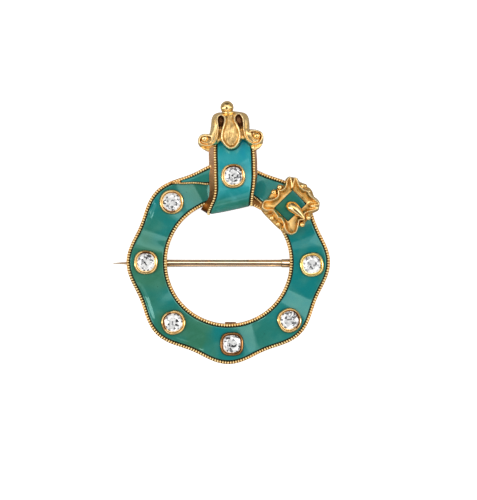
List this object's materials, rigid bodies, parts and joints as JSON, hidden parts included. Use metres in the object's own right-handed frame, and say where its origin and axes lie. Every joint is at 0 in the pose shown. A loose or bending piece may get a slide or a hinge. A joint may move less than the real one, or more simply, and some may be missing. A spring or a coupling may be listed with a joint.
{
  "type": "buckle brooch",
  "caption": "Enamelled gold belt brooch: a wavy ring with a lapped tail, keeper strap, ruffled buckle, set stones and a hinged pin.",
  "frame": {"origin": "under the middle of the whole brooch, on the surface that it lies on", "axes": "+Z out of the enamelled face, +Y towards the terminal's bead, +X towards the pin's hinge"},
  "size_m": [0.0305, 0.037, 0.0054],
  "materials": {
    "gold": "gloss",
    "pin_gold": "gloss",
    "enamel": "gloss",
    "diamond": "gloss"
  },
  "bodies": {
    "brooch": {"back_lug": "gold", "belt_enamel": "enamel", "belt_frame": "gold", "buckle_frame": "gold", "buckle_tongue": "gold", "hinge_rivet": "pin_gold", "pin_catch": "gold", "pin_hinge": "gold", "setting_bottom": "gold", "setting_left": "gold", "setting_lower_left": "gold", "setting_lower_right": "gold", "setting_right": "gold", "setting_strap": "gold", "setting_upper_left": "gold", "stone_bottom": "diamond", "stone_left": "diamond", "stone_lower_left": "diamond", "stone_lower_right": "diamond", "stone_right": "diamond", "stone_strap": "diamond", "stone_upper_left": "diamond", "strap_enamel": "enamel", "strap_frame": "gold", "terminal": "gold"},
    "pin": {"pin_stem": "pin_gold"}
  },
  "joints": [
    {"name": "pin_swing", "type": "hinge", "parent": "brooch", "child": "pin", "pos_m": [0.01259, -0.00435, 0.0008], "axis": [0, -1, 0], "range_deg": [0, 100]}
  ]
}
